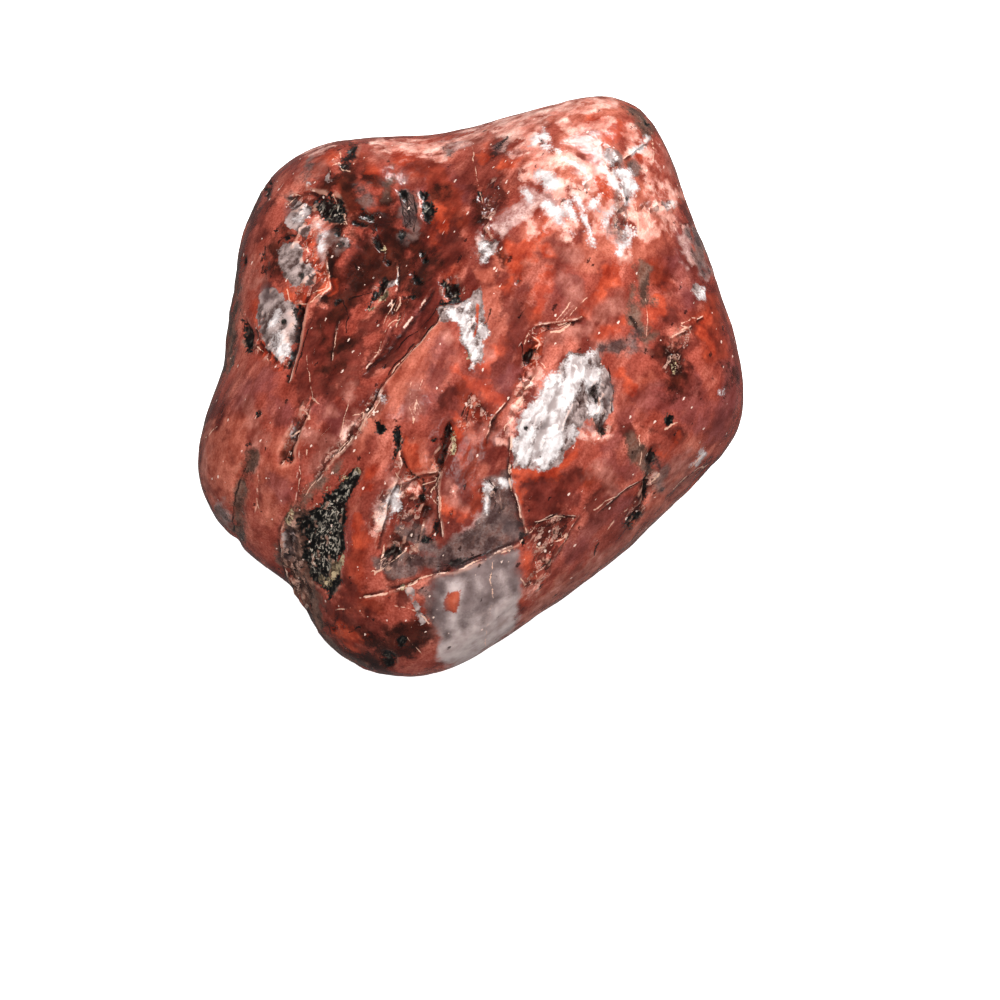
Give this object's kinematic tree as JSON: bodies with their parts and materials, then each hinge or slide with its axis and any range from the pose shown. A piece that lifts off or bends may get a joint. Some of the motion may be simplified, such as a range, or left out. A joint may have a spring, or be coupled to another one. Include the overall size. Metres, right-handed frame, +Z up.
{
  "type": "tumbled stone",
  "caption": "Tumbled, polished pebble of red feldspar with milky quartz and black mica, a rounded five-sided lump that rests on a small flat spot.",
  "frame": {"origin": "middle of the flat spot that the stone rests on", "axes": "+Z up from the flat spot, +Y along the stone's length, away from the side that the picture looks from, +X across it"},
  "size_m": [0.0437, 0.0471, 0.0263],
  "materials": {
    "red_feldspar": "polished, with pits and rough mica pockets"
  },
  "bodies": {
    "root": {"stone": "red_feldspar"}
  },
  "joints": []
}
